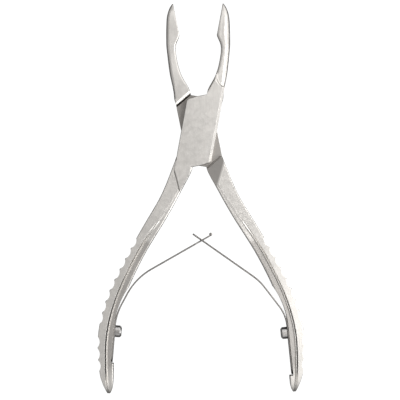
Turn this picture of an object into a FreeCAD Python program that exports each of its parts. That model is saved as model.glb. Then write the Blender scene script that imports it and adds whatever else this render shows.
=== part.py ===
import FreeCAD, Part
import math
import os

# Small bone rongeur lying flat: jaws towards +Y, handles towards -Y, +Z up.
# The pivot axis is the Z axis and the resting face is z = 0.
# Each arm is drawn with the jaws shut and then opened by half the closing angle.

# Whole instrument, millimetres and degrees
joint_thickness = 8.0
jaw_length = 48.0
handle_length = 101.5
close_angle = 22.0

# Lap joint
plate_width = 12.95
lap_gap = 0.06
step_distance = 12.65
step_angle = 61.0
step_clearance = 0.33
step_chamfer = 0.8
ramp_chamfer = 1.5
chamfer_slope = 0.62
relief_width = 0.55
relief_depth = 0.35
corner_cut = 0.45
long_bevel = 0.85
edge_bevel = 0.18
mid_clearance = 0.3
jaw_inset = 0.12
shank_relief = 0.5
leaf_chamfer = 0.45
crescent_chamfer = 0.5
ramp_slope = 0.2

# Pivot screw
pivot_diameter = 4.0
pivot_head_diameter = 7.0
pivot_head_rim = 0.3
pivot_head_sunk = 0.15
pivot_running_gap = 0.03
pivot_slot_width = 0.8
pivot_slot_depth = 0.7
front_skin = 0.75
tap_relief = 0.15

# Spoon jaws
cup_half_width = 2.1
cup_rim = 0.5
cup_depth = 1.9
cup_start = 0.775
rim_gap = 0.03
crown_inner = 0.24
crown_outer = 0.6
crown_drop = 0.12

# Handles and serrated grips
handle_inset = 0.04
back_corner = 0.22
back_dome = 0.15
inner_round = 0.5
ledge_drop = 0.7
bead_rise = 0.3
bead_land = 0.15
furrow_width = 0.55
furrow_depth = 0.45
groove_pitch = 4.35
groove_depth = 0.8
groove_count = 12
plain_land = 8
first_groove = 45.4

# Leaf springs
spring_thickness = 0.55
spring_width = 5.0
spring_tip_width = 4.4
left_foot_length = 12.7
right_foot_length = 17.8
foot_lean = 5.7
foot_top_x = 17.53
foot_top_share = 0.7612
left_low_radius = 22.0
left_low_turn = 23.7
left_middle_run = 4.5
left_high_radius = 23.0
left_high_turn = 31.8
right_low_radius = 14.0
right_low_turn = 31.7
right_middle_run = 9.1
right_high_radius = 20.0
right_high_turn = 17.4
seat_flare = 7.6
seat_end_gap = 0.4
tongue_width = 2.4
tongue_shoulder = 1.3
tongue_overhang = 4.7
tongue_roll = 1.2
slot_width = 3.2
slot_reach = 7.0
slot_past = 1.3
slotted_overhang = 3.3

# Spring screws
spring_screw_diameter = 2.2
spring_screw_hole_gap = 0.15
spring_screw_head = 4.4
spring_screw_head_height = 2.4
spring_screw_bevel = 0.6
spring_screw_slot_width = 0.6
spring_screw_slot_depth = 0.8
spring_screw_turn = 60.0
spring_screw_gap = 0.03
left_screw_drop = 1.2
right_screw_drop = 2.4
spring_screw_bite = 3.8

half = close_angle / 2.0
mid = joint_thickness / 2.0
lap_bottom = mid + lap_gap / 2.0
far = 200.0


def vec(x, y, z=0.0):
    return FreeCAD.Vector(x, y, z)


def polygon(points, low, high):
    """Upright prism over a closed outline."""
    ring = [vec(x, y, low) for x, y in points]
    face = Part.Face(Part.makePolygon(ring + ring[:1]))
    return face.extrude(vec(0, 0, high - low))


def slab():
    """Space between the two flat sides of the instrument."""
    return Part.makeBox(far, 2 * far, joint_thickness, vec(-far / 2, -far, 0))


def turned(shape, degrees):
    copy = shape.copy()
    copy.rotate(vec(0, 0, 0), vec(0, 0, 1), degrees)
    return copy


def front_pose(shape):
    return turned(shape, -half)


def rear_pose(shape):
    copy = shape.copy()
    copy.rotate(vec(0, 0, mid), vec(0, 1, 0), 180)
    return turned(copy, half)


# Lap plate

def lap_end(x):
    """Top edge of the plate, parallel to the other arm's step when shut."""
    lean = math.radians(step_angle)
    return (step_distance - step_clearance + math.cos(lean) * x) / math.sin(lean)


def plate_outline():
    side = plate_width / 2.0
    top = [
        (side, 9.0),
        (side - jaw_inset, 13.2),
        (mid_clearance, lap_end(-3.2) + 1.35),
        (-3.2, lap_end(-3.2)),
        (corner_cut - side, lap_end(corner_cut - side)),
        (-side, lap_end(corner_cut - side) - 1.3 * corner_cut),
    ]
    bottom = [(-x, -y) for x, y in top]
    return top + bottom


def plate():
    """The flat lap, with a wide bevel along its outer long edge."""
    side = plate_width / 2.0
    body = polygon(plate_outline(), 0, joint_thickness)
    rim = []
    for edge in body.Edges:
        box = edge.BoundBox
        if box.ZMin > joint_thickness - 0.01 and box.XMax < side - 0.01:
            rim.append(edge)
    body = body.makeChamfer(edge_bevel, rim)
    return body.cut(long_wedge())


def long_wedge():
    """What the wide bevel takes off the outer long edge."""
    side = plate_width / 2.0
    ring = [
        vec(side - long_bevel, -far, joint_thickness),
        vec(side + 1, -far, joint_thickness - long_bevel - 1),
        vec(side + 1, -far, joint_thickness + 1),
        vec(side - long_bevel, -far, joint_thickness + 1),
    ]
    face = Part.Face(Part.makePolygon(ring + ring[:1]))
    return face.extrude(vec(0, 2 * far, 0))


def face_tongue():
    """The flat face runs on to the jaw and ends in a crescent."""
    side = plate_width / 2.0
    inner_end = vec(2.62, 22.3, mid)
    outer_end = vec(side - 0.12, 17.6, mid)
    corner = vec(side, 12.0, mid)
    low = vec(mid_clearance, 12.0, mid)
    turn = vec(mid_clearance + 0.1, 15.6, mid)
    edges = [
        Part.Arc(outer_end, vec(4.1, 18.7, mid), inner_end).toShape(),
        Part.Arc(inner_end, vec(1.7, 19.3, mid), turn).toShape(),
        Part.makeLine(turn, low),
        Part.makeLine(low, corner),
        Part.makeLine(corner, outer_end),
    ]
    body = Part.Face(Part.Wire(edges)).extrude(vec(0, 0, joint_thickness - mid))
    rim = []
    for edge in body.Edges:
        box = edge.BoundBox
        if box.ZMin > joint_thickness - 0.01 and box.YMax > outer_end.y + 0.1:
            rim.append(edge)
    return body.makeChamfer(crescent_chamfer, rim).cut(long_wedge())


def face_leaf():
    """The flat face also fades down the handle to a leaf point."""
    shoulder = vec(0.13 - plate_width / 2.0, -16.6, mid)
    outer_point = vec(-3.25, -23.3, mid)
    inner_point = vec(-3.0, -23.4, mid)
    waist = vec(-0.5, -16.2, mid)
    low = vec(-0.5, -12.5, mid)
    corner = vec(0.13 - plate_width / 2.0, -12.5, mid)
    edges = [
        Part.makeLine(corner, shoulder),
        Part.Arc(shoulder, vec(-4.9, -19.6, mid), outer_point).toShape(),
        Part.makeLine(outer_point, inner_point),
        Part.Arc(inner_point, vec(-1.95, -20.7, mid), waist).toShape(),
        Part.makeLine(waist, low),
        Part.makeLine(low, corner),
    ]
    body = Part.Face(Part.Wire(edges)).extrude(vec(0, 0, joint_thickness - mid))
    rim = []
    for edge in body.Edges:
        box = edge.BoundBox
        outside = box.XMin < shoulder.x + 0.1 and box.YMax < shoulder.y + 0.1
        if outside and box.ZMin > joint_thickness - 0.01:
            rim.append(edge)
    return body.makeChamfer(leaf_chamfer, rim)


def ramp():
    """Sloped facet between the lower step and the full depth of the handle."""
    start = vec(-6.05, -14.82)
    along = vec(-3.22, -20.3) - start
    along.normalize()
    inward = vec(-along.y, along.x)
    ring = []
    for run, height in ((0, 0), (7, 7 * ramp_slope), (7, -1), (0, -1)):
        spot = start - along * 6 + inward * run
        ring.append(vec(spot.x, spot.y, shank_relief + height))
    face = Part.Face(Part.makePolygon(ring + ring[:1]))
    return face.extrude(along * 16)


# Jaw

def bulge(start, end, centre):
    """Rounded corner between two points of a section."""
    reach = math.sqrt(0.5)
    middle = centre + (start - centre) * reach + (end - centre) * reach
    return Part.Arc(start, middle, end).toShape()


def jaw_section(share, inner, outer, below, above, nose, slope, inner_flat, outer_flat, crown):
    """Flat-faced towards the back and, by the share in crown, rounded across the front."""
    y = jaw_length * share
    width = outer - inner
    front_nose = nose + crown * (crown_inner * width - nose)
    front_slope = slope + crown * (crown_outer * width - slope)
    low = mid - below
    high = mid + above
    a = vec(inner, y, mid - inner_flat * below)
    b = vec(inner, y, mid + (inner_flat - crown_drop * crown) * above)
    c = vec(inner + front_nose, y, high)
    d = vec(outer - front_slope, y, high)
    e = vec(outer, y, mid + outer_flat * above)
    f = vec(outer, y, mid - outer_flat * below)
    g = vec(outer - slope, y, low)
    h = vec(inner + nose, y, low)
    edges = [
        Part.makeLine(a, b),
        bulge(b, c, vec(c.x, y, b.z)),
        Part.makeLine(c, d),
        bulge(d, e, vec(d.x, y, e.z)),
        Part.makeLine(e, f),
        bulge(f, g, vec(g.x, y, f.z)),
        Part.makeLine(g, h),
        bulge(h, a, vec(h.x, y, a.z)),
    ]
    return Part.Wire(edges)


def jaw():
    """Slim curved shank that swells into the pointed spoon."""
    side = plate_width / 2.0 - jaw_inset
    cup = cup_half_width
    thick = mid + 0.15
    stations = [
        (0.240, 0.45, side, thick, 3.50, 0.40, 0.9, 0.88, 0.75, 0.0),
        (0.330, 0.50, side, thick - 0.07, 3.40, 0.40, 0.9, 0.88, 0.72, 0.0),
        (0.396, 1.55, side, 3.93, 3.25, 0.45, 0.9, 0.88, 0.68, 0.4),
        (0.458, 2.35, side + 0.05, 3.65, 3.05, 0.50, 1.0, 0.88, 0.62, 0.8),
        (0.542, 2.72, 6.20, 3.1, 2.75, 0.45, 1.0, 0.86, 0.52, 1.0),
        (0.625, 2.62, 5.88, 2.60, 2.60, 0.45, 1.0, 0.86, 0.45, 1.0),
        (0.697, 1.75, 5.52, cup * 1.17, cup * 1.17, 0.40, 1.0, 0.86, 0.40, 1.0),
        (0.750, 0.10, 5.05, cup * 1.10, cup * 1.10, 0.30, 1.0, 0.90, 0.35, 1.0),
        (0.804, -0.3, 4.52, cup * 1.05, cup * 1.05, 0.25, 1.0, 0.92, 0.30, 1.0),
        (0.865, -0.3, 3.85, cup * 0.98, cup * 0.98, 0.20, 1.0, 0.92, 0.30, 1.0),
        (0.917, -0.3, 3.10, cup * 0.87, cup * 0.87, 0.20, 0.9, 0.92, 0.30, 1.0),
        (0.958, -0.3, 2.10, cup * 0.68, cup * 0.68, 0.15, 0.8, 0.92, 0.30, 1.0),
        (0.987, -0.3, 1.05, cup * 0.34, cup * 0.34, 0.10, 0.6, 0.92, 0.30, 1.0),
        (1.000, -0.3, 0.35, cup * 0.15, cup * 0.15, 0.05, 0.3, 0.92, 0.30, 1.0),
    ]
    body = Part.makeLoft([jaw_section(*s) for s in stations], True)
    trim = Part.makeBox(10, jaw_length, 20, vec(rim_gap / 2.0 - 10, jaw_length * 0.6, -5))
    body = body.common(slab()).cut(trim)
    return body.cut(cup_hollow())


def cup_hollow():
    """The scooped spoon: a half egg sunk into the rim plane."""
    length = jaw_length * (1.0 - cup_start) / 2.0 - cup_rim
    centre = jaw_length * (1.0 + cup_start) / 2.0
    ball = Part.makeSphere(1.0)
    grow = FreeCAD.Matrix()
    grow.scale(cup_depth, length, cup_half_width - cup_rim)
    egg = ball.transformGeometry(grow)
    egg.translate(vec(0, centre - 0.3, mid))
    return egg


# Handle

def handle_section(inner_x, inner_share, outer_x, outer_share, half_depth, band, relief):
    """Rounded inner edge, level ledge, thin bead, furrow, flat side and a domed back."""
    inner = vec(-inner_x, -handle_length * inner_share)
    outer = vec(-outer_x, -handle_length * outer_share)
    across = outer - inner
    width = across.Length
    across.normalize()
    small = min(1.0, width / 3.0)
    shallow = min(1.0, half_depth / mid)
    fillet = inner_round * small * shallow
    corner = back_corner * small * shallow
    ledge = half_depth - (0.05 + (ledge_drop - 0.05) * relief) * shallow
    bead = band + bead_rise * small
    furrow = bead + bead_land * small
    upper = [
        (0, ledge - fillet),
        (fillet, ledge),
        (band, ledge),
        (bead, half_depth),
        (furrow, half_depth),
        (furrow + furrow_width * small / 2.0, half_depth - furrow_depth * relief * shallow),
        (furrow + furrow_width * small, half_depth),
        (width - corner, half_depth),
        (width, half_depth - corner),
    ]
    last = len(upper) - 1

    def at(run, up):
        spot = inner + across * run
        return vec(spot.x, spot.y, mid + up)

    top = [at(run, up) for run, up in upper]
    low = [at(run, -up) for run, up in upper]
    edges = [Part.makeLine(low[0], top[0]), bulge(top[0], top[1], at(fillet, ledge - fillet))]
    for index in range(1, last - 1):
        edges.append(Part.makeLine(top[index], top[index + 1]))
    edges.append(bulge(top[last - 1], top[last], at(width - corner, half_depth - corner)))
    edges.append(Part.Arc(top[last], at(width + back_dome * small, 0), low[last]).toShape())
    edges.append(bulge(low[last], low[last - 1], at(width - corner, corner - half_depth)))
    for index in range(last - 1, 1, -1):
        edges.append(Part.makeLine(low[index], low[index - 1]))
    edges.append(bulge(low[1], low[0], at(fillet, fillet - ledge)))
    return Part.Wire(edges)


def handle_stations():
    """Inner edge, outer edge, half depth, ledge width and share of the full relief."""
    root = mid - shank_relief
    full = mid - handle_inset
    return [
        (0.10, 0.123, 6.40, 0.108, root, 0.7, 0.0),
        (0.35, 0.160, 7.00, 0.144, root, 0.7, 0.0),
        (1.75, 0.204, 7.75, 0.184, root, 0.8, 0.0),
        (3.75, 0.268, 9.15, 0.248, root + 0.3 * shank_relief, 1.0, 0.0),
        (7.20, 0.365, 12.55, 0.345, full, 1.6, 0.1),
        (10.95, 0.462, 16.15, 0.445, full, 2.0, 1.0),
        (13.90, 0.558, 19.35, 0.543, full, 2.1, 1.0),
        (15.85, 0.642, 21.80, 0.634, full, 2.2, 1.0),
        (16.85, 0.725, 22.98, 0.724, full, 2.3, 1.0),
        (16.75, 0.806, 22.75, 0.811, full, 2.3, 1.0),
        (15.60, 0.884, 21.00, 0.893, full, 2.2, 1.0),
        (14.55, 0.945, 18.90, 0.953, full - 0.4, 1.9, 0.9),
        (14.30, 0.980, 16.95, 0.984, full - 1.5, 1.2, 0.6),
        (14.80, 0.999, 15.80, 1.000, full - 3.2, 0.4, 0.3),
    ]


def handle():
    return Part.makeLoft([handle_section(*s) for s in handle_stations()], True)


def back_curve():
    points = [vec(-s[2], -handle_length * s[3]) for s in handle_stations()]
    curve = Part.BSplineCurve()
    curve.interpolate(points)
    return curve


def grip_grooves():
    """Scallops across the back of the grip, with one plain land at the screw."""
    curve = back_curve()
    chord = groove_pitch * 0.95
    radius = chord * chord / (8 * groove_depth) + groove_depth / 2.0
    start = curve.parameter(vec(-15.5, -first_groove))
    run = curve.length(curve.FirstParameter, start)
    cutters = []
    for index in range(groove_count):
        if index == plain_land:
            continue
        place = curve.parameterAtDistance(run + index * groove_pitch)
        spot = curve.value(place)
        tangent = curve.tangent(place)[0]
        outward = vec(tangent.y, -tangent.x)
        if outward.x > 0:
            outward = outward * -1
        centre = spot + outward * (radius - groove_depth + 0.1)
        centre.z = -1
        cutters.append(Part.makeCylinder(radius, joint_thickness + 2, centre))
    return Part.makeCompound(cutters)


# Leaf springs, drawn beside the front arm's handle with the jaws shut

def foot_frame():
    """Top of the straight foot, its upward run and its outward side."""
    top = vec(-foot_top_x, -handle_length * foot_top_share)
    lean = math.radians(foot_lean)
    up = vec(-math.sin(lean), math.cos(lean))
    out = vec(-math.cos(lean), -math.sin(lean))
    return top, up, out


class Blade:
    """Two bends and the straight run of one leaf, and where the open springs cross."""

    def __init__(self, low_bend, middle_run, high_bend, foot_length, screw_drop):
        self.top, self.up, self.out = foot_frame()
        self.foot_length = foot_length
        self.screw_drop = screw_drop
        self.low_radius, low_degrees = low_bend
        self.high_radius, high_degrees = high_bend
        self.low_turn = math.radians(low_degrees)
        self.turn = self.low_turn + math.radians(high_degrees)
        self.low_centre = self.top - self.out * self.low_radius
        self.low_side = self.around(self.low_turn)
        self.low_end = self.low_centre + self.low_side * self.low_radius
        self.high_start = self.low_end + self.onward(self.low_turn) * middle_run
        self.high_centre = self.high_start - self.low_side * self.high_radius
        self.side = self.around(self.turn)
        self.run = self.onward(self.turn)
        self.start = self.high_centre + self.side * self.high_radius
        opened = math.radians(-half)
        x = self.start.x * math.cos(opened) - self.start.y * math.sin(opened)
        step = self.run.x * math.cos(opened) - self.run.y * math.sin(opened)
        self.cross = -x / step

    def around(self, angle):
        return self.out * math.cos(angle) + self.up * math.sin(angle)

    def onward(self, angle):
        return self.up * math.cos(angle) - self.out * math.sin(angle)

    def long_side(self, overhang, shift):
        """One long side of the leaf from foot to tip, and its two end points."""
        low_middle = self.around(self.low_turn / 2.0) * (self.low_radius + shift)
        high_middle = self.around((self.low_turn + self.turn) / 2.0) * (self.high_radius + shift)
        spots = [
            self.top - self.up * self.foot_length + self.out * shift,
            self.top + self.out * shift,
            self.low_end + self.low_side * shift,
            self.high_start + self.low_side * shift,
            self.start + self.side * shift,
            self.start + self.run * (self.cross + overhang) + self.side * shift,
        ]
        edges = [
            Part.makeLine(spots[0], spots[1]),
            Part.Arc(spots[1], self.low_centre + low_middle, spots[2]).toShape(),
            Part.makeLine(spots[2], spots[3]),
            Part.Arc(spots[3], self.high_centre + high_middle, spots[4]).toShape(),
            Part.makeLine(spots[4], spots[5]),
        ]
        return edges, spots[0], spots[5]

    def leaf(self, overhang):
        """The leaf seen edge on, spread across its width."""
        back, back_foot, back_tip = self.long_side(overhang, spring_thickness / 2.0)
        front, front_foot, front_tip = self.long_side(overhang, -spring_thickness / 2.0)
        tip = Part.makeLine(back_tip, front_tip)
        foot = Part.makeLine(front_foot, back_foot)
        face = Part.Face(Part.Wire(back + [tip] + front[::-1] + [foot]))
        face.translate(vec(0, 0, mid - spring_width / 2.0))
        body = face.extrude(vec(0, 0, spring_width))
        body = body.cut(foot_end_trim(self.foot_length))
        return body.cut(screw_hole(self.screw_drop, spring_screw_diameter + 2 * spring_screw_hole_gap))

    def across(self, points):
        """Cutter given as run along the blade and height, pushed through the leaf."""
        ring = []
        for along, rise in points:
            spot = self.start + self.run * along - self.side * 5
            ring.append(vec(spot.x, spot.y, mid + rise))
        face = Part.Face(Part.makePolygon(ring + ring[:1]))
        return face.extrude(self.side * 10)

    def tapers(self, last, end_half):
        """Trims both edges of the blade to a gentle taper."""
        wide = spring_width / 2.0
        cuts = []
        for sign in (-1, 1):
            cuts.append(self.across([
                (0, sign * wide),
                (last, sign * end_half),
                (last, sign * (wide + 1)),
                (0, sign * (wide + 1)),
            ]))
        return cuts[0].fuse(cuts[1])


def foot_end_trim(foot_length):
    """Rounds the end of the foot."""
    top, up, out = foot_frame()
    radius = spring_width / 2.0
    centre = top - up * (foot_length - radius) - out * 5
    centre.z = mid
    disc = Part.makeCylinder(radius, 10, centre, out)
    ring = []
    for drop, rise in ((0, -1), (2, -1), (2, 1), (0, 1)):
        spot = centre - up * drop * radius
        ring.append(vec(spot.x, spot.y, mid + rise * (radius + 1)))
    face = Part.Face(Part.makePolygon(ring + ring[:1]))
    return face.extrude(out * 10).cut(disc)


def screw_spot(screw_drop):
    top, up, out = foot_frame()
    spot = top - up * screw_drop
    return vec(spot.x, spot.y, mid), out


def screw_hole(screw_drop, diameter):
    spot, out = screw_spot(screw_drop)
    return Part.makeCylinder(diameter / 2.0, 10, spot - out * 5, out)


def left_spring():
    """Leaf with a narrow tongue and a rolled tip."""
    low_bend = (left_low_radius, left_low_turn)
    high_bend = (left_high_radius, left_high_turn)
    blade = Blade(low_bend, left_middle_run, high_bend, left_foot_length, left_screw_drop)
    reach = blade.cross + tongue_overhang
    shoulder = blade.cross - tongue_shoulder
    narrow = tongue_width / 2.0
    body = blade.leaf(tongue_overhang)
    body = body.cut(blade.tapers(shoulder, spring_tip_width / 2.0))
    for sign in (-1, 1):
        body = body.cut(blade.across([
            (shoulder, sign * (narrow + 0.5)),
            (shoulder + 0.5, sign * narrow),
            (reach + 3, sign * narrow),
            (reach + 3, sign * spring_width),
            (shoulder, sign * spring_width),
        ]))
    tip = blade.start + blade.run * reach + blade.side * (tongue_roll - spring_thickness) / 2.0
    roll = Part.makeCylinder(tongue_roll / 2.0, tongue_width, vec(tip.x, tip.y, mid - narrow))
    return body.fuse(roll).removeSplitter()


def right_spring():
    """Leaf with a long slot for the tongue, closed at the tip."""
    low_bend = (right_low_radius, right_low_turn)
    high_bend = (right_high_radius, right_high_turn)
    blade = Blade(low_bend, right_middle_run, high_bend, right_foot_length, right_screw_drop)
    reach = blade.cross + slotted_overhang
    body = blade.leaf(slotted_overhang)
    body = body.cut(blade.tapers(reach + 1, spring_tip_width / 2.0))
    near = blade.cross - slot_reach
    end = blade.cross + slot_past
    r = slot_width / 2.0
    body = body.cut(blade.across([(near + r, -r), (end, -r), (end, r), (near + r, r)]))
    spot = blade.start + blade.run * (near + r) - blade.side * 5
    body = body.cut(Part.makeCylinder(r, 10, vec(spot.x, spot.y, mid), blade.side))
    nose = spring_tip_width / 2.0
    for sign in (-1, 1):
        body = body.cut(blade.across([
            (reach - 0.9, sign * (nose + 0.1)),
            (reach + 0.1, sign * (nose - 1.0)),
            (reach + 0.1, sign * (nose + 1)),
        ]))
    return body


def spring_seat(foot_length):
    """Recess in the inner face where the foot lies, running out up the handle."""
    top, up, out = foot_frame()
    face_top = top + out * (spring_thickness / 2.0)
    low = face_top - up * (foot_length + seat_end_gap)
    radius = max(left_low_radius, right_low_radius) + spring_thickness / 2.0 + seat_flare
    centre = face_top - out * radius
    lift = math.radians(22)
    end = math.radians(44)
    middle = centre + (out * math.cos(lift) + up * math.sin(lift)) * radius
    last = centre + (out * math.cos(end) + up * math.sin(end)) * radius
    edges = [
        Part.makeLine(low, face_top),
        Part.Arc(face_top, middle, last).toShape(),
        Part.makeLine(last, last - out * 12),
        Part.makeLine(last - out * 12, low - out * 12),
        Part.makeLine(low - out * 12, low),
    ]
    face = Part.Face(Part.Wire(edges))
    face.translate(vec(0, 0, -1))
    return face.extrude(vec(0, 0, joint_thickness + 2))


def spring_screw(screw_drop):
    """Slotted cheese-head screw that clamps the foot of a leaf."""
    spot, out = screw_spot(screw_drop)
    seat = spot - out * (spring_thickness / 2.0 + spring_screw_gap)
    crown = seat - out * spring_screw_head_height
    radius = spring_screw_head / 2.0
    bevel = spring_screw_bevel
    head = Part.makeCylinder(radius, spring_screw_head_height - bevel, seat, out * -1)
    dome = Part.makeCone(radius - bevel, radius, bevel, crown, out)
    bite = spring_screw_gap + spring_thickness + spring_screw_bite
    shank = Part.makeCylinder(spring_screw_diameter / 2.0, bite, seat, out)
    body = head.fuse(dome).fuse(shank)
    up = vec(-out.y, out.x)
    wide = spring_screw_slot_width / 2.0
    ring = []
    for sign in (-1, 1):
        spot = crown - out + up * (wide * sign)
        ring.append(vec(spot.x, spot.y, mid - radius - 1))
    ring.append(vec(ring[1].x, ring[1].y, mid + radius + 1))
    ring.append(vec(ring[0].x, ring[0].y, mid + radius + 1))
    slot = Part.Face(Part.makePolygon(ring + ring[:1])).extrude(out * (1 + spring_screw_slot_depth))
    slot.rotate(crown, out, spring_screw_turn)
    return body.cut(slot).removeSplitter()


def tapped_hole(screw_drop):
    spot, out = screw_spot(screw_drop)
    depth = spring_thickness / 2.0 + spring_screw_bite + tap_relief
    return Part.makeCylinder(spring_screw_diameter / 2.0, depth, spot, out)


# Arms

def lap_recess():
    """Half the thickness is taken away between the two steps, with a relief at their feet."""
    block = Part.makeBox(2 * step_distance, 80, far, vec(-step_distance, -40, lap_bottom - far))
    for near in (-step_distance, step_distance - relief_width):
        relief = Part.makeBox(relief_width, 80, 1 + relief_depth, vec(near, -40, lap_bottom - 1))
        block = block.fuse(relief)
    block.rotate(vec(0, 0, 0), vec(0, 0, 1), step_angle)
    return block


def step_chamfers():
    """Broken edges on the outer lips of both steps."""
    cuts = []
    for side, size in ((0, step_chamfer), (180, ramp_chamfer)):
        near = step_distance - 0.5
        drop = size * chamfer_slope
        ring = [
            vec(near, -40, -1),
            vec(step_distance + size + 1 / chamfer_slope, -40, -1),
            vec(step_distance, -40, drop),
            vec(near, -40, drop),
        ]
        face = Part.Face(Part.makePolygon(ring + ring[:1]))
        bar = face.extrude(vec(0, 80, 0))
        bar.rotate(vec(0, 0, 0), vec(0, 0, 1), step_angle + side)
        cuts.append(bar)
    return Part.makeCompound(cuts)


def arm(foot_length, screw_drop):
    body = plate().fuse(jaw())
    body = body.fuse(handle())
    body = body.fuse(face_tongue())
    body = body.fuse(face_leaf())
    body = body.cut(lap_recess())
    body = body.cut(ramp())
    body = body.cut(step_chamfers())
    body = body.cut(grip_grooves())
    body = body.cut(spring_seat(foot_length))
    body = body.cut(tapped_hole(screw_drop))
    return body.removeSplitter()


def front_arm():
    """Right jaw, front lap and left handle, tapped from behind for the pivot."""
    depth = joint_thickness - front_skin
    hole = Part.makeCylinder(pivot_diameter / 2.0, depth, vec(0, 0, 0))
    return front_pose(arm(left_foot_length, left_screw_drop).cut(hole))


def rear_arm():
    """The same forging turned over, bored and countersunk for the pivot screw."""
    gap = pivot_running_gap
    bore = Part.makeCylinder(pivot_diameter / 2.0 + gap, joint_thickness + 2, vec(0, 0, -1))
    head = pivot_head_diameter / 2.0
    fall = head - pivot_diameter / 2.0
    rim_low = joint_thickness - pivot_head_sunk - pivot_head_rim
    wider = gap * 1.5
    rim = Part.makeCylinder(head + wider, joint_thickness, vec(0, 0, rim_low))
    cone = Part.makeCone(head + wider - fall, head + wider, fall, vec(0, 0, rim_low - fall))
    return rear_pose(arm(right_foot_length, right_screw_drop).cut(bore.fuse([rim, cone])))


def joint_screw():
    """Slotted countersunk screw put in from the resting side."""
    head = pivot_head_diameter / 2.0
    shank = pivot_diameter / 2.0
    low = pivot_head_sunk
    rim = Part.makeCylinder(head, pivot_head_rim, vec(0, 0, low))
    cone = Part.makeCone(head, shank, head - shank, vec(0, 0, low + pivot_head_rim))
    top = joint_thickness - front_skin - tap_relief
    pin = Part.makeCylinder(shank, top - low, vec(0, 0, low))
    body = rim.fuse([cone, pin])
    slot = Part.makeBox(
        2 * head + 2, pivot_slot_width, pivot_slot_depth + 1,
        vec(-head - 1, -pivot_slot_width / 2.0, low - 1))
    slot.rotate(vec(0, 0, 0), vec(0, 0, 1), 35)
    return body.cut(slot).removeSplitter()


def main():
    os.makedirs("parts", exist_ok=True)
    pieces = {
        "front_arm": front_arm(),
        "rear_arm": rear_arm(),
        "joint_screw": joint_screw(),
        "left_spring": front_pose(left_spring()),
        "right_spring": rear_pose(right_spring()),
        "left_spring_screw": front_pose(spring_screw(left_screw_drop)),
        "right_spring_screw": rear_pose(spring_screw(right_screw_drop)),
    }
    for name, shape in pieces.items():
        if len(shape.Solids) == 1:
            shape = shape.Solids[0]
        shape.exportStep("parts/" + name + ".step")
        print(name, len(shape.Solids), round(shape.Volume, 1), shape.isValid())


main()
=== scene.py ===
import math
import bmesh
import bpy
from mathutils import Matrix, Vector


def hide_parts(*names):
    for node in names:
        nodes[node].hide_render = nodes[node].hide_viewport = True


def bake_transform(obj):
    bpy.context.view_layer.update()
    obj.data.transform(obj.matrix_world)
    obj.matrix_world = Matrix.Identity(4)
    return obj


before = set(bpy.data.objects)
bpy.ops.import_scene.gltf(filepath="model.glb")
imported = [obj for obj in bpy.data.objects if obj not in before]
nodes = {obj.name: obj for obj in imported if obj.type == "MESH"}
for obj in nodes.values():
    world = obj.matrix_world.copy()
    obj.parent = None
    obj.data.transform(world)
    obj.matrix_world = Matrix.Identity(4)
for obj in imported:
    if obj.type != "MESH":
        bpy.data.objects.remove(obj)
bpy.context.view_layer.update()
mm = 0.001

# Whole instrument, in the part's own frame
body = {
    "thickness": 8.0 * mm,
    "openAngle": math.radians(11.0),  # each arm is turned out by this much at rest
    "handleLength": 101.5 * mm,
}
middle = body["thickness"] / 2


def report(text):
    print("scene:", text)


# Materials

def newMaterial(name):
    material = bpy.data.materials.new(name)
    material.use_nodes = True
    tree = material.node_tree
    tree.nodes.clear()
    output = tree.nodes.new("ShaderNodeOutputMaterial")
    shader = tree.nodes.new("ShaderNodeBsdfPrincipled")
    tree.links.new(shader.outputs["BSDF"], output.inputs["Surface"])
    return material, tree, shader


def newGroup(name, inputs, outputs):
    group = bpy.data.node_groups.new(name, "ShaderNodeTree")
    for label, kind, value in inputs:
        socket = group.interface.new_socket(label, in_out="INPUT", socket_type=kind)
        if value is not None:
            socket.default_value = value
    for label, kind in outputs:
        group.interface.new_socket(label, in_out="OUTPUT", socket_type=kind)
    return group, group.nodes.new("NodeGroupInput"), group.nodes.new("NodeGroupOutput")


def addNode(tree, kind, **settings):
    node = tree.nodes.new(kind)
    for key, value in settings.items():
        setattr(node, key, value)
    return node


def mathNode(tree, operation, first, second=None, clamp=False):
    node = addNode(tree, "ShaderNodeMath", operation=operation, use_clamp=clamp)
    for index, value in enumerate((first, second)):
        if value is None:
            continue
        if isinstance(value, (int, float)):
            node.inputs[index].default_value = value
        else:
            tree.links.new(value, node.inputs[index])
    return node.outputs[0]


def noiseNode(tree, vector, scale, detail, rough):
    node = addNode(tree, "ShaderNodeTexNoise")
    node.inputs["Scale"].default_value = scale
    node.inputs["Detail"].default_value = detail
    node.inputs["Roughness"].default_value = rough
    tree.links.new(vector, node.inputs["Vector"])
    return node.outputs["Fac"]


def rangeNode(tree, value, lowIn, highIn, lowOut, highOut):
    node = addNode(tree, "ShaderNodeMapRange")
    for label, number in (("From Min", lowIn), ("From Max", highIn), ("To Min", lowOut), ("To Max", highOut)):
        if isinstance(number, (int, float)):
            node.inputs[label].default_value = number
        else:
            tree.links.new(number, node.inputs[label])
    tree.links.new(value, node.inputs["Value"])
    return node.outputs["Result"]


def zoneNode(tree, value, zone, lowOut, highOut, unit=mm):
    # ramp across a zone given in millimetres, or in plain numbers where the unit is 1
    return rangeNode(tree, value, zone[0] * unit, zone[1] * unit, lowOut, highOut)


def multiplyAll(tree, first, *others):
    for other in others:
        first = mathNode(tree, "MULTIPLY", first, other)
    return first


def tintNode(tree, factor, under, colour):
    node = addNode(tree, "ShaderNodeMix", data_type="RGBA")
    node.inputs["B"].default_value = (*colour, 1)
    tree.links.new(factor, node.inputs["Factor"])
    tree.links.new(under, node.inputs["A"])
    return node.outputs["Result"]


def objectPlace(tree):
    place = addNode(tree, "ShaderNodeSeparateXYZ")
    tree.links.new(addNode(tree, "ShaderNodeTexCoord").outputs["Object"], place.inputs["Vector"])
    return place.outputs


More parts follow.
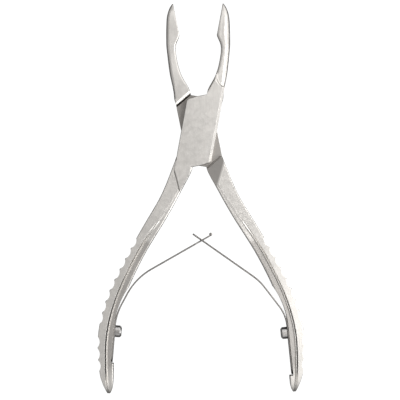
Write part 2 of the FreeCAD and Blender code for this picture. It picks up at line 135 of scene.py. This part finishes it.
# Noise of the polishing lines, the satin specks, the rubbed edges and the handling marks
pattern = {
    "lineDetail": 2.0, "lineRough": 0.6,
    "speckScale": 5200.0, "speckDetail": 2.0, "speckRough": 0.5,
    "rubScale": 900.0, "rubDetail": 3.0, "rubRough": 0.6, "rubBorder": (0.35, 0.6), "rubLeast": 0.35,
    "markDetail": 4.0,
}


# Fine polishing lines that run along the instrument, with a satin grain under them
def makeGrainGroup():
    group, start, end = newGroup(
        "satinGrain",
        [("Line Turn", "NodeSocketVector", (0, 0, 0)), ("Line Stretch", "NodeSocketVector", (1, 1, 1)),
         ("Line Share", "NodeSocketFloat", 0.6)],
        [("Height", "NodeSocketFloat"), ("Shade", "NodeSocketFloat")])
    place = addNode(group, "ShaderNodeTexCoord")
    mapping = addNode(group, "ShaderNodeMapping")
    group.links.new(place.outputs["Object"], mapping.inputs["Vector"])
    group.links.new(start.outputs["Line Turn"], mapping.inputs["Rotation"])
    group.links.new(start.outputs["Line Stretch"], mapping.inputs["Scale"])
    lines = noiseNode(group, mapping.outputs["Vector"], 1.0, pattern["lineDetail"], pattern["lineRough"])
    speck = noiseNode(
        group, place.outputs["Object"], pattern["speckScale"], pattern["speckDetail"], pattern["speckRough"])
    linePart = mathNode(group, "MULTIPLY", lines, start.outputs["Line Share"])
    other = mathNode(group, "SUBTRACT", 1.0, start.outputs["Line Share"])
    speckPart = mathNode(group, "MULTIPLY", speck, other)
    height = mathNode(group, "ADD", linePart, speckPart)
    group.links.new(height, end.inputs["Height"])
    group.links.new(lines, end.inputs["Shade"])
    return group


# Brighter, smoother metal where an edge is rubbed
def makeEdgeGroup():
    group, start, end = newGroup(
        "edgePolish",
        [("Round Normal", "NodeSocketVector", None), ("Gain", "NodeSocketFloat", 8.0)],
        [("Mask", "NodeSocketFloat")])
    geometry = addNode(group, "ShaderNodeNewGeometry")
    dot = addNode(group, "ShaderNodeVectorMath", operation="DOT_PRODUCT")
    group.links.new(start.outputs["Round Normal"], dot.inputs[0])
    group.links.new(geometry.outputs["Normal"], dot.inputs[1])
    away = mathNode(group, "SUBTRACT", 1.0, dot.outputs["Value"])
    gained = mathNode(group, "MULTIPLY", away, start.outputs["Gain"], clamp=True)
    place = addNode(group, "ShaderNodeTexCoord").outputs["Object"]
    patch = noiseNode(group, place, pattern["rubScale"], pattern["rubDetail"], pattern["rubRough"])
    broken = zoneNode(group, patch, pattern["rubBorder"], pattern["rubLeast"], 1.0, 1)
    group.links.new(mathNode(group, "MULTIPLY", gained, broken), end.inputs["Mask"])
    return group


# Faint cloudy marks of handling and washing
def makeMarksGroup():
    group, start, end = newGroup(
        "handlingMarks",
        [("Cloud Scale", "NodeSocketFloat", 90.0), ("Spot Scale", "NodeSocketFloat", 700.0)],
        [("Cloud", "NodeSocketFloat"), ("Spots", "NodeSocketFloat")])
    place = addNode(group, "ShaderNodeTexCoord").outputs["Object"]
    for label, source in (("Cloud", "Cloud Scale"), ("Spots", "Spot Scale")):
        noise = addNode(group, "ShaderNodeTexNoise")
        noise.inputs["Detail"].default_value = pattern["markDetail"]
        group.links.new(place, noise.inputs["Vector"])
        group.links.new(start.outputs[source], noise.inputs["Scale"])
        group.links.new(noise.outputs["Fac"], end.inputs[label])
    return group


# Where the duller finishes and the painted shade lie. Lengths are in millimetres, and a level is the distance
# above or below the middle of the thickness. Each pair is the start and end of a soft border.
finishAndShadeZones = {
    "sunkLevel": (3.38, 3.46),  # the lap faces and the ledges lie below this
    "levelFacing": (0.88, 0.96),
    "lapBorder": (-30, 2), "ledgeShare": 0.72,  # the ledges get only this share of the lap's finish and painted shade
    "jawEnd": (14.5, 15.0), "handleEnd": (-91, -86),
    "cutFloorStart": (0.2, 0.25), "cutFloorEnd": (0.5, 0.55),
    "stepBorder": (-1, 1), "lowerStepShare": 0.25,
    "creaseFacingStart": (0.40, 0.46), "creaseFacingEnd": (0.66, 0.88), "creaseLevel": (3.44, 3.50),
    "creaseFade": (-72, -50), "creaseLow": 0.72, "creaseHigh": 0.12,
}


# Duller metal on the lap faces and, fainter, on the ledge along each handle, darkened by a darker finish
# and painted shade, and painted near-black shade at the bottom of the narrow relief cut at each step and in
# the crease of each handle
def makeRecessFinishAndShadeGroup():
    zones = finishAndShadeZones
    group, start, end = newGroup(
        "recessFinishAndShade", [("Handle Share", "NodeSocketFloat", zones["ledgeShare"])],
        [("Mask", "NodeSocketFloat"), ("Groove Painted Shade", "NodeSocketFloat")])
    place = objectPlace(group)
    level = mathNode(group, "ABSOLUTE", mathNode(group, "SUBTRACT", place["Z"], middle))
    facing = addNode(group, "ShaderNodeSeparateXYZ")
    group.links.new(addNode(group, "ShaderNodeNewGeometry").outputs["Normal"], facing.inputs["Vector"])
    levelness = mathNode(group, "ABSOLUTE", facing.outputs["Z"])  # 1 on a level face, 0 on an upright one
    flat = zoneNode(group, levelness, zones["levelFacing"], 0.0, 1.0, 1)
    low = zoneNode(group, level, zones["sunkLevel"], 1.0, 0.0)
    lap = zoneNode(group, place["Y"], zones["lapBorder"], start.outputs["Handle Share"], 1.0)
    jawEnd = zoneNode(group, place["Y"], zones["jawEnd"], 1.0, 0.0)
    handleEnd = zoneNode(group, place["Y"], zones["handleEnd"], 0.0, 1.0)
    group.links.new(multiplyAll(group, low, flat, lap, jawEnd, handleEnd), end.inputs["Mask"])
    # painted near-black shade on the floor of the relief cut, darker at the upper step
    past = zoneNode(group, level, zones["cutFloorStart"], 0.0, 1.0)
    before = zoneNode(group, level, zones["cutFloorEnd"], 1.0, 0.0)
    upperStep = zoneNode(group, place["Y"], zones["stepBorder"], zones["lowerStepShare"], 1.0)
    stepLine = multiplyAll(group, past, before, flat, upperStep)
    # painted shade in the crease beside the bead of each handle: its walls are neither level nor upright,
    # and the shade darkens towards the end
    steeper = zoneNode(group, levelness, zones["creaseFacingStart"], 0.0, 1.0, 1)
    flatter = zoneNode(group, levelness, zones["creaseFacingEnd"], 1.0, 0.0, 1)
    outside = zoneNode(group, level, zones["creaseLevel"], 0.0, 1.0)
    fade = zoneNode(group, place["Y"], zones["creaseFade"], zones["creaseLow"], zones["creaseHigh"])
    walls = multiplyAll(group, steeper, flatter)
    crease = multiplyAll(group, walls, multiplyAll(group, outside, fade))
    group.links.new(mathNode(group, "MAXIMUM", stepLine, crease), end.inputs["Groove Painted Shade"])
    return group


satinGrain = makeGrainGroup()
edgePolish = makeEdgeGroup()
handlingMarks = makeMarksGroup()
recessFinishAndShade = makeRecessFinishAndShadeGroup()


def placeGroup(tree, group, **values):
    node = addNode(tree, "ShaderNodeGroup", node_tree=group)
    for label, value in values.items():
        node.inputs[label].default_value = value
    return node


def steelMaterial(name, look):
    material, tree, shader = newMaterial(name)
    shader.inputs["Metallic"].default_value = 1.0
    grain = placeGroup(tree, satinGrain, **{
        "Line Turn": (0, 0, look["lineTurn"]), "Line Stretch": look["lineStretch"],
        "Line Share": look["lineShare"]})
    marks = placeGroup(tree, handlingMarks, **{
        "Cloud Scale": look["cloudScale"], "Spot Scale": look["spotScale"]})
    rounding = addNode(tree, "ShaderNodeBevel", samples=6)
    rounding.inputs["Radius"].default_value = look["edgeRadius"]
    edge = placeGroup(tree, edgePolish, Gain=look["edgeGain"])
    tree.links.new(rounding.outputs["Normal"], edge.inputs["Round Normal"])
    mask = edge.outputs["Mask"]
    # colour: plain steel, slightly clouded, paler where edges are rubbed, darker on the laps and ledges with a
    # duller finish and painted shade, and painted near-black shade in the relief cuts and creases
    clouded = addNode(tree, "ShaderNodeMix", data_type="RGBA")
    clouded.inputs["A"].default_value = (*look["darkColour"], 1)
    clouded.inputs["B"].default_value = (*look["colour"], 1)
    cloudPart = mathNode(tree, "MULTIPLY", marks.outputs["Cloud"], look["cloudShare"])
    linePart = mathNode(tree, "MULTIPLY", grain.outputs["Shade"], 1 - look["cloudShare"])
    shade = mathNode(tree, "ADD", cloudPart, linePart)
    tree.links.new(zoneNode(tree, shade, look["cloudBorder"], 0.0, 1.0, 1), clouded.inputs["Factor"])
    lapFinishAndShade = placeGroup(tree, recessFinishAndShade)
    recess = lapFinishAndShade.outputs["Mask"]
    colour = clouded.outputs["Result"]
    tints = ((mask, "edgeColour"), (recess, "recessFinishAndShadeColour"), (lapFinishAndShade.outputs["Groove Painted Shade"], "grooveShadeColour"))
    for factor, tint in tints:
        colour = tintNode(tree, factor, colour, look[tint])
    tree.links.new(colour, shader.inputs["Base Color"])
    # gloss: satin, duller in the clouds, smoother on the edges
    satin = zoneNode(tree, marks.outputs["Spots"], look["spotBorder"], look["roughLow"], look["roughHigh"], 1)
    polished = mathNode(tree, "MULTIPLY", mask, look["edgeShine"])
    dulled = mathNode(tree, "ADD", satin, mathNode(tree, "MULTIPLY", recess, look["recessDull"]))
    tree.links.new(mathNode(tree, "SUBTRACT", dulled, polished, clamp=True), shader.inputs["Roughness"])
    bump = addNode(tree, "ShaderNodeBump")
    bump.inputs["Strength"].default_value = look["bumpStrength"]
    bump.inputs["Distance"].default_value = look["bumpDepth"]
    tree.links.new(grain.outputs["Height"], bump.inputs["Height"])
    # the jaws are rounded more softly than the rest
    soft = addNode(tree, "ShaderNodeBevel", samples=8)
    radius = zoneNode(tree, objectPlace(tree)["Y"], look["jawBorder"], look["edgeRadius"], look["jawRadius"])
    tree.links.new(radius, soft.inputs["Radius"])
    tree.links.new(soft.outputs["Normal"], bump.inputs["Normal"])
    tree.links.new(bump.outputs["Normal"], shader.inputs["Normal"])
    return material


satinLook = {
    "colour": (0.79, 0.76, 0.722), "darkColour": (0.71, 0.685, 0.65), "edgeColour": (0.90, 0.885, 0.865),
    # the recess colour is a darker finish together with painted shade; the groove colour is painted near-black
    # shade in the relief cuts and creases
    "recessFinishAndShadeColour": (0.36, 0.34, 0.32), "recessDull": 0.1, "grooveShadeColour": (0.035, 0.033, 0.03),
    "lineTurn": 0.0, "lineStretch": (2600, 160, 2600), "lineShare": 0.6,
    "cloudScale": 85.0, "cloudShare": 0.6, "cloudBorder": (0.35, 0.62),
    "spotScale": 650.0, "spotBorder": (0.3, 0.7), "roughLow": 0.30, "roughHigh": 0.40,
    "edgeRadius": 0.16 * mm, "edgeGain": 9.0, "edgeShine": 0.08,
    "jawRadius": 0.75 * mm, "jawBorder": (15.5, 19),
    "bumpStrength": 0.14, "bumpDepth": 0.02 * mm,
}
springLook = dict(
    satinLook, colour=(0.26, 0.255, 0.25), darkColour=(0.18, 0.176, 0.172), edgeColour=(0.40, 0.395, 0.39),
    lineStretch=(3000, 3000, 200), roughLow=0.22, roughHigh=0.32, edgeRadius=0.06 * mm, bumpStrength=0.12)
# the slotted leaf uses a darker copy of the leaf steel: painted shade
shadedSpringLook = dict(
    springLook, colour=(0.04, 0.039, 0.038), darkColour=(0.025, 0.024, 0.023), edgeColour=(0.07, 0.068, 0.066))
screwLook = dict(
    satinLook, colour=(0.72, 0.71, 0.70), darkColour=(0.60, 0.59, 0.58), lineStretch=(1800, 1800, 1800),
    roughLow=0.24, roughHigh=0.32, edgeRadius=0.2 * mm, bumpStrength=0.1)

satinSteel = steelMaterial("satinSteel", satinLook)
springSteel = steelMaterial("springSteel", springLook)
shadedSpringSteel = steelMaterial("shadedSpringSteel", shadedSpringLook)
screwSteel = steelMaterial("screwSteel", screwLook)


def dress(name, material):
    piece = nodes[name]
    piece.data.materials.clear()
    piece.data.materials.append(material)


for name in ("front_arm", "rear_arm"):
    dress(name, satinSteel)
for name in ("joint_screw", "left_spring_screw", "right_spring_screw"):
    dress(name, screwSteel)
report("steel finishes on the arms and screws")


# Leaf springs that bend between the clamped foot and the free blade

leaf = {
    "thickness": 0.55 * mm,
    "width": 5.0 * mm,
    "tipWidth": 4.4 * mm,
    "footLean": math.radians(5.7),
    "footTopX": 17.53 * mm,
    "footTopShare": 0.7612,
    "edgeBreak": 0.09 * mm,
    "rows": 46,  # cuts along the leaf, so that it bends smoothly
    "columns": 8, "roundCuts": 8, "holeSides": 16,
    "sharpAngle": 1.0,  # only edges that turn by more than this are broken
    "screwHole": 2.5 * mm,
}
tongueLeaf = {
    "lowRadius": 22.0 * mm, "lowTurn": math.radians(23.7), "middleRun": 4.5 * mm,
    "highRadius": 23.0 * mm, "highTurn": math.radians(31.8), "overhang": 4.7 * mm,
    "footLength": 12.7 * mm, "screwDrop": 1.2 * mm,
    "tongueWidth": 2.4 * mm, "shoulder": 1.3 * mm, "rollWidth": 1.2 * mm,
}
slottedLeaf = {
    "lowRadius": 14.0 * mm, "lowTurn": math.radians(31.7), "middleRun": 9.1 * mm,
    "highRadius": 20.0 * mm, "highTurn": math.radians(17.4), "overhang": 3.3 * mm,
    "footLength": 17.8 * mm, "screwDrop": 2.4 * mm,
    "slotWidth": 3.2 * mm, "slotReach": 7.0 * mm, "slotPast": 1.3 * mm,
}


def footFrame():
    top = Vector((-leaf["footTopX"], -body["handleLength"] * leaf["footTopShare"], middle))
    lean = leaf["footLean"]
    up = Vector((-math.sin(lean), math.cos(lean), 0))
    out = Vector((-math.cos(lean), -math.sin(lean), 0))
    return top, up, out


def sideways(angle):
    top, up, out = footFrame()
    return out * math.cos(angle) + up * math.sin(angle)


def onward(angle):
    top, up, out = footFrame()
    return up * math.cos(angle) - out * math.sin(angle)


def bendLength(shape):
    low = shape["lowRadius"] * shape["lowTurn"]
    return low + shape["middleRun"] + shape["highRadius"] * shape["highTurn"]


def pathPoint(shape, along):
    # point of the leaf's middle line, measured up from the top of the foot, and its turn there
    top, up, out = footFrame()
    if along <= 0:
        return top + up * along, 0.0
    run = min(along, shape["lowRadius"] * shape["lowTurn"])
    angle = run / shape["lowRadius"]
    spot = top + (sideways(angle) - out) * shape["lowRadius"]
    along -= run
    run = min(along, shape["middleRun"])
    spot = spot + onward(angle) * run
    along -= run
    run = min(along, shape["highRadius"] * shape["highTurn"])
    lower, angle = angle, angle + run / shape["highRadius"]
    spot = spot + (sideways(angle) - sideways(lower)) * shape["highRadius"]
    return spot + onward(angle) * (along - run), angle


def bladeLength(shape):
    # straight run from the bend to where the open springs cross on the middle line
    start, angle = pathPoint(shape, bendLength(shape))
    opened = Matrix.Rotation(-body["openAngle"], 3, "Z")
    return -(opened @ start).x / (opened @ onward(angle)).x


def bendPoint(shape, along, rise, height):
    # rise is measured outward, towards the handle
    spot, angle = pathPoint(shape, along)
    return spot + sideways(angle) * rise + Vector((0, 0, height))


def cutOutline(mesh, point, normal):
    # takes away what lies on the far side of one levelness plane
    everything = mesh.verts[:] + mesh.edges[:] + mesh.faces[:]
    bmesh.ops.bisect_plane(mesh, geom=everything, plane_co=point, plane_no=normal, clear_outer=True)


def flatBlank(shape, reach):
    # flat strip in the X (along) and Y (across) plane, tapered and rounded at the foot
    mesh = bmesh.new()
    low = -shape["footLength"]
    bmesh.ops.create_grid(mesh, x_segments=leaf["rows"], y_segments=leaf["columns"], size=0.5)
    bmesh.ops.scale(mesh, vec=Vector((reach - low, leaf["width"], 1)), verts=mesh.verts)
    bmesh.ops.translate(mesh, vec=Vector(((reach + low) / 2, 0, 0)), verts=mesh.verts)
    arc = bendLength(shape)
    half, tipHalf = leaf["width"] / 2, leaf["tipWidth"] / 2
    fall = (half - tipHalf) / (reach - arc)
    for sign in (-1, 1):
        cutOutline(mesh, Vector((arc, sign * half, 0)), Vector((fall, sign, 0)))
    for step in range(1, leaf["roundCuts"]):
        angle = math.pi * (0.5 + step / leaf["roundCuts"])
        edge = Vector((math.cos(angle), math.sin(angle), 0))
        cutOutline(mesh, Vector((low + half, 0, 0)) + edge * half, edge)
    return mesh


def cutNear(mesh, isNear, point, normal):
    # cuts only the faces that are near, and takes nothing away
    near = [f for f in mesh.faces if isNear(f.calc_center_median())]
    parts = set(near)
    for face in near:
        parts.update(face.edges)
        parts.update(face.verts)
    bmesh.ops.bisect_plane(mesh, geom=list(parts), plane_co=point, plane_no=normal)


def punch(mesh, centre, lengthAlong, widthAcross):
    # stadium-shaped hole: cuts the grid along the hole's outline and deletes the inside
    radius = widthAcross / 2
    straight = lengthAlong / 2 - radius
    sides = []
    for step in range(leaf["holeSides"]):
        angle = math.tau * (step + 0.5) / leaf["holeSides"]
        edge = Vector((math.cos(angle), math.sin(angle), 0))
        shift = Vector((math.copysign(straight, edge.x), 0, 0))
        sides.append((centre + shift + edge * radius, edge))
    reach = lengthAlong / 2 + 4 * radius
    for point, edge in sides:
        cutNear(mesh, lambda spot: (spot - centre).length < reach, point, edge)
    inside = []
    for face in mesh.faces:
        spot = face.calc_center_median()
        if all((spot - point).dot(edge) < 0 for point, edge in sides):
            inside.append(face)
    bmesh.ops.delete(mesh, geom=inside, context="FACES")


def rollTip(mesh, shape, reach):
    # round bead across the end of the tongue
    radius = shape["rollWidth"] / 2
    place = Matrix.Translation((reach, 0, radius - leaf["thickness"] / 2))
    bmesh.ops.create_cone(
        mesh, cap_ends=True, segments=24, radius1=radius, radius2=radius, depth=shape["tongueWidth"],
        matrix=place @ Matrix.Rotation(math.pi / 2, 4, "X"))


def finishLeaf(name, mesh, shape, material, mirrored, rollAt=None):
    # thickness, broken edges, then the bend and the arm's open angle
    bmesh.ops.recalc_face_normals(mesh, faces=mesh.faces)
    bmesh.ops.dissolve_degenerate(mesh, dist=0.01 * mm, edges=mesh.edges)
    bmesh.ops.solidify(mesh, geom=mesh.faces[:], thickness=leaf["thickness"])
    heights = [v.co.z for v in mesh.verts]
    centreHeight = (max(heights) + min(heights)) / 2
    bmesh.ops.translate(mesh, vec=Vector((0, 0, -centreHeight)), verts=mesh.verts)
    bmesh.ops.recalc_face_normals(mesh, faces=mesh.faces)
    if rollAt is not None:
        rollTip(mesh, shape, rollAt)
    sharp = [e for e in mesh.edges if e.is_manifold and e.calc_face_angle(0) > leaf["sharpAngle"]]
    bmesh.ops.bevel(
        mesh, geom=sharp, offset=leaf["edgeBreak"], affect="EDGES", segments=2, profile=0.5, material=-1)
    for vert in mesh.verts:
        vert.co = bendPoint(shape, vert.co.x, vert.co.z, vert.co.y)
    turn = Matrix.Rotation(-body["openAngle"], 4, "Z")
    if mirrored:
        lift = Matrix.Translation((0, 0, middle))
        over = lift @ Matrix.Rotation(math.pi, 4, "Y") @ lift.inverted()
        turn = Matrix.Rotation(body["openAngle"], 4, "Z") @ over
    bmesh.ops.transform(mesh, matrix=turn, verts=mesh.verts)
    bmesh.ops.recalc_face_normals(mesh, faces=mesh.faces)
    data = bpy.data.meshes.new(name)
    mesh.to_mesh(data)
    mesh.free()
    piece = bpy.data.objects.new(name, data)
    bpy.context.scene.collection.objects.link(piece)
    for face in data.polygons:
        face.use_smooth = True
    data.materials.append(material)
    return piece, turn


def bendStartEnd(shape, turn):
    return turn @ bendPoint(shape, 0, 0, 0), turn @ bendPoint(shape, bendLength(shape), 0, 0)


def trimTongue(mesh, shoulder, half):
    # both corners beside the narrow tongue are cut free and taken away
    cuts = (((shoulder, 0, 0), (1, 0, 0)), ((0, half, 0), (0, 1, 0)), ((0, -half, 0), (0, -1, 0)))
    for point, normal in cuts:
        cutNear(mesh, lambda spot: spot.x > shoulder - 2 * mm, Vector(point), Vector(normal))
    corners = []
    for face in mesh.faces:
        spot = face.calc_center_median()
        if spot.x > shoulder and abs(spot.y) > half:
            corners.append(face)
    bmesh.ops.delete(mesh, geom=corners, context="FACES")


def tongueSpring():
    shape = tongueLeaf
    crossing = bendLength(shape) + bladeLength(shape)
    reach = crossing + shape["overhang"]
    mesh = flatBlank(shape, reach)
    punch(mesh, Vector((-shape["screwDrop"], 0, 0)), leaf["screwHole"], leaf["screwHole"])
    trimTongue(mesh, crossing - shape["shoulder"], shape["tongueWidth"] / 2)
    piece, turn = finishLeaf("leftLeafSpring", mesh, shape, springSteel, False, reach)
    bendStartEnd(shape, turn)
    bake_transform(piece)
    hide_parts("left_spring")


def slottedSpring():
    shape = slottedLeaf
    crossing = bendLength(shape) + bladeLength(shape)
    mesh = flatBlank(shape, crossing + shape["overhang"])
    punch(mesh, Vector((-shape["screwDrop"], 0, 0)), leaf["screwHole"], leaf["screwHole"])
    slotMiddle = crossing + (shape["slotPast"] - shape["slotReach"]) / 2
    punch(mesh, Vector((slotMiddle, 0, 0)), shape["slotPast"] + shape["slotReach"], shape["slotWidth"])
    piece, turn = finishLeaf("rightLeafSpring", mesh, shape, shadedSpringSteel, True)
    bendStartEnd(shape, turn)
    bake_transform(piece)
    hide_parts("right_spring")


tongueSpring()
slottedSpring()
report("leaf springs bent and hooked")


# Floor, light and camera

studio = {
    "floorSize": 3.0,
    "floorGrey": 0.12, "floorGlow": 1.0,  # the glow is seen by the camera only, so steel doesn't mirror it
    "skyTop": 0.54, "skyEdge": 0.045, "skyBorder": (0.04, 0.36),
    "glowSide": (0.80, 0.55, 0.22), "glowFrom": 0.45, "glowTo": 0.90, "glowPower": 0.82,
    "bevelSide": (0.98, -0.19, 0.03), "bevelFrom": 0.955, "bevelTo": 0.99, "bevelPower": 2.4,
    "keyPlace": (0.095, -0.07, 0.12), "keySize": (0.05, 0.12), "keyPower": 0.056,
    "jawPlace": (0.03, 0.20, 0.40), "jawSize": (0.25, 0.12), "jawPower": 0.085,
    "sidePlace": (0.09, 0.03, 0.16), "sideSize": (0.05, 0.12), "sidePower": 0.058,
    "gripPlace": (0.08, -0.14, 0.16), "gripSize": (0.14, 0.14), "gripPower": 0.045,
}


def makeFloor():
    mesh = bmesh.new()
    bmesh.ops.create_grid(mesh, x_segments=1, y_segments=1, size=studio["floorSize"] / 2)
    data = bpy.data.meshes.new("floor")
    mesh.to_mesh(data)
    mesh.free()
    floor = bpy.data.objects.new("floor", data)
    bpy.context.scene.collection.objects.link(floor)
    material, tree, shader = newMaterial("paleFloor")
    shader.inputs["Base Color"].default_value = (studio["floorGrey"],) * 3 + (1,)
    shader.inputs["Roughness"].default_value = 0.9
    shader.inputs["Emission Color"].default_value = (1, 1, 1, 1)
    seen = addNode(tree, "ShaderNodeLightPath").outputs["Is Camera Ray"]
    tree.links.new(mathNode(tree, "MULTIPLY", seen, studio["floorGlow"]), shader.inputs["Emission Strength"])
    data.materials.append(material)


def areaLight(name, place, size, power, target=Vector((0, -0.02, 0))):
    data = bpy.data.lights.new(name, "AREA")
    data.shape = "RECTANGLE"
    data.size, data.size_y = size
    data.energy = power
    light = bpy.data.objects.new(name, data)
    light.location = place
    light.rotation_mode = "QUATERNION"
    light.rotation_quaternion = (target - Vector(place)).to_track_quat("-Z", "Y")
    bpy.context.scene.collection.objects.link(light)


def makeWorld():
    world = bpy.data.worlds.new("studio")
    bpy.context.scene.world = world
    world.use_nodes = True
    tree = world.node_tree
    back = tree.nodes["Background"]
    place = addNode(tree, "ShaderNodeTexCoord")
    split = addNode(tree, "ShaderNodeSeparateXYZ")
    tree.links.new(place.outputs["Generated"], split.inputs["Vector"])
    above = zoneNode(tree, split.outputs["Z"], studio["skyBorder"], studio["skyEdge"], studio["skyTop"], 1)
    total = above
    for part in ("glow", "bevel"):
        toward = addNode(tree, "ShaderNodeVectorMath", operation="DOT_PRODUCT")
        toward.inputs[1].default_value = studio[part + "Side"]
        tree.links.new(place.outputs["Generated"], toward.inputs[0])
        patch = rangeNode(tree, toward.outputs["Value"], studio[part + "From"], studio[part + "To"],
                          0.0, studio[part + "Power"])
        total = mathNode(tree, "ADD", total, patch)
    tree.links.new(total, back.inputs["Color"])


def makeCamera():
    view = {
        "pixel": 0.37 * mm, "pivotPixel": (199.1, 131.0), "imageHalf": 200.0,
        "lean": math.radians(0.55), "distance": 0.9, "sensor": 36.0,
    }
    across = (view["imageHalf"] - view["pivotPixel"][0]) * view["pixel"]
    upward = (view["pivotPixel"][1] - view["imageHalf"]) * view["pixel"]
    lean = view["lean"]
    place = Vector((
        across * math.cos(lean) + upward * math.sin(lean),
        upward * math.cos(lean) - across * math.sin(lean),
        middle + view["distance"]))
    data = bpy.data.cameras.new("camera")
    data.sensor_width = view["sensor"]
    data.lens = view["sensor"] * view["distance"] / (2 * view["imageHalf"] * view["pixel"])
    camera = bpy.data.objects.new("camera", data)
    camera.location = place
    camera.rotation_euler = (0, 0, -lean)
    bpy.context.scene.collection.objects.link(camera)
    bpy.context.scene.camera = camera


makeFloor()
for part in ("key", "jaw", "side", "grip"):
    areaLight(part + "Light", studio[part + "Place"], studio[part + "Size"], studio[part + "Power"])
makeWorld()
makeCamera()
bpy.context.scene.view_settings.view_transform = "Standard"
report("floor, light and camera")
